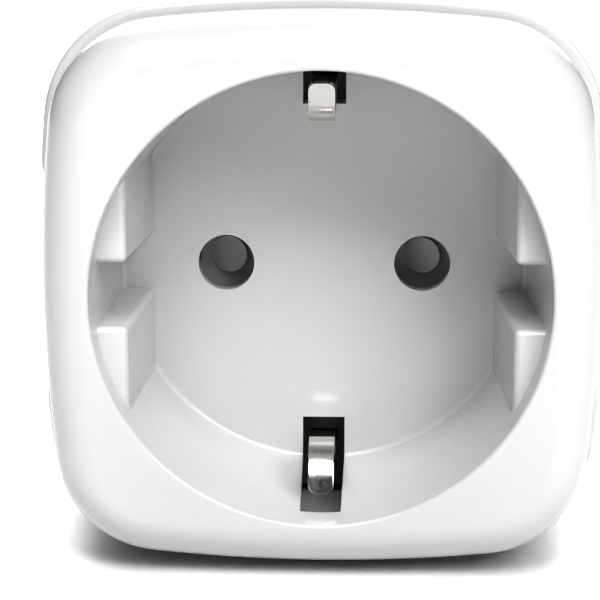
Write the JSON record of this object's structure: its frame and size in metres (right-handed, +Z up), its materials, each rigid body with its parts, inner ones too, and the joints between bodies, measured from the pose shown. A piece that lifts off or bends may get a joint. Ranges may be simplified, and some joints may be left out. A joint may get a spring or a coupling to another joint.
{
  "type": "plug-in power meter",
  "caption": "Plug-in power meter: a compact bowed-square housing with a round grounded socket in front, a grounded plug with two round pins behind, finger recesses and a power button.",
  "frame": {"origin": "midpoint between the two plug pins, on the plug's end face that meets a wall socket's floor", "axes": "+Y along the plug pins, out of the plug's end face; +Z up, towards the power button; the socket faces -Y; +X to the right when the socket is looked at from the front"},
  "size_m": [0.052, 0.072, 0.0527],
  "materials": {
    "housing_white": "smooth moulded gloss",
    "button_white": "smooth moulded gloss",
    "cage_white": "plain moulded",
    "shutter_grey": "plain moulded",
    "nickel_pin": "bright nickel plate",
    "nickel_strip": "bright nickel-plated strip",
    "zinc_steel": "zinc-plated steel",
    "contact_brass": "stamped brass",
    "dark_plastic": "glass-filled moulding",
    "board_green": "solder resist",
    "chip_black": "moulded epoxy",
    "relay_blue": "moulded case",
    "coil_copper": "enamelled wire",
    "resistor_alloy": "bare resistance alloy",
    "radio_blue": "solder resist",
    "capacitor_yellow": "moulded case",
    "capacitor_sleeve": "shrink sleeve",
    "varistor_blue": "dipped epoxy",
    "fuse_brown": "moulded case",
    "ferrite_black": "ferrite with sleeve",
    "header_gold": "gold flash",
    "plunger_cream": "plain moulded",
    "led_clear": "clear epoxy",
    "pipe_clear": "clear moulded light pipe"
  },
  "bodies": {
    "housing": {"front_cover": "housing_white", "rear_shell": "housing_white", "housing_screws": "zinc_steel", "board_screws": "zinc_steel", "plug_pin_live": "nickel_pin", "plug_pin_neutral": "nickel_pin", "pin_carrier": "dark_plastic", "live_strap": "contact_brass", "neutral_strap": "contact_brass", "earth_bar_top": "nickel_strip", "earth_bar_bottom": "nickel_strip", "earth_bridge": "nickel_strip", "slot_screens": "dark_plastic", "shutter_cage": "cage_white", "shutter_spring": "zinc_steel", "socket_contact_live": "contact_brass", "socket_contact_neutral": "contact_brass", "main_board": "board_green", "button_board": "board_green", "relay_base": "chip_black", "relay_cover": "relay_blue", "relay_coil": "coil_copper", "relay_contacts": "contact_brass", "shunt_resistor": "resistor_alloy", "meter_chip": "chip_black", "supply_chip": "chip_black", "rectifier": "chip_black", "radio_module": "radio_blue", "radio_shield": "nickel_strip", "film_capacitor": "capacitor_yellow", "supply_capacitors": "capacitor_sleeve", "varistor": "varistor_blue", "fuse": "fuse_brown", "inductor": "ferrite_black", "board_header": "header_gold", "switch_body": "chip_black", "status_led": "led_clear", "light_pipe": "pipe_clear"},
    "shutter": {"shutter": "shutter_grey"},
    "button": {"power_button": "button_white", "switch_plunger": "plunger_cream"},
    "armature": {"relay_armature": "zinc_steel"},
    "clip_top": {"earth_clip_top": "nickel_strip"},
    "clip_bottom": {"earth_clip_bottom": "nickel_strip"}
  },
  "joints": [
    {"name": "shutter_slide", "type": "slide", "parent": "housing", "child": "shutter", "axis": [1, 0, 0], "range_m": [0, 0.0053], "stiffness_N_per_m": 60, "springref_m": -0.004, "deforming": ["shutter_spring"]},
    {"name": "button_press", "type": "slide", "parent": "housing", "child": "button", "axis": [0, 0, -1], "range_m": [0, 0.00035], "stiffness_N_per_m": 2000, "springref_m": -0.0002},
    {"name": "armature_tilt", "type": "hinge", "parent": "housing", "child": "armature", "pos_m": [0, -0.0105, 0.00445], "axis": [1, 0, 0], "range_deg": [0, 3], "stiffness_Nm_per_rad": 0.01, "springref_deg": -2.86},
    {"name": "clip_top_flex", "type": "hinge", "parent": "housing", "child": "clip_top", "pos_m": [0, -0.028, 0.018], "axis": [-1, 0, 0], "range_deg": [0, 4], "stiffness_Nm_per_rad": 0.8, "springref_deg": -1.15},
    {"name": "clip_bottom_flex", "type": "hinge", "parent": "housing", "child": "clip_bottom", "pos_m": [0, -0.028, -0.018], "axis": [1, 0, 0], "range_deg": [0, 4], "stiffness_Nm_per_rad": 0.8, "springref_deg": -1.15}
  ]
}
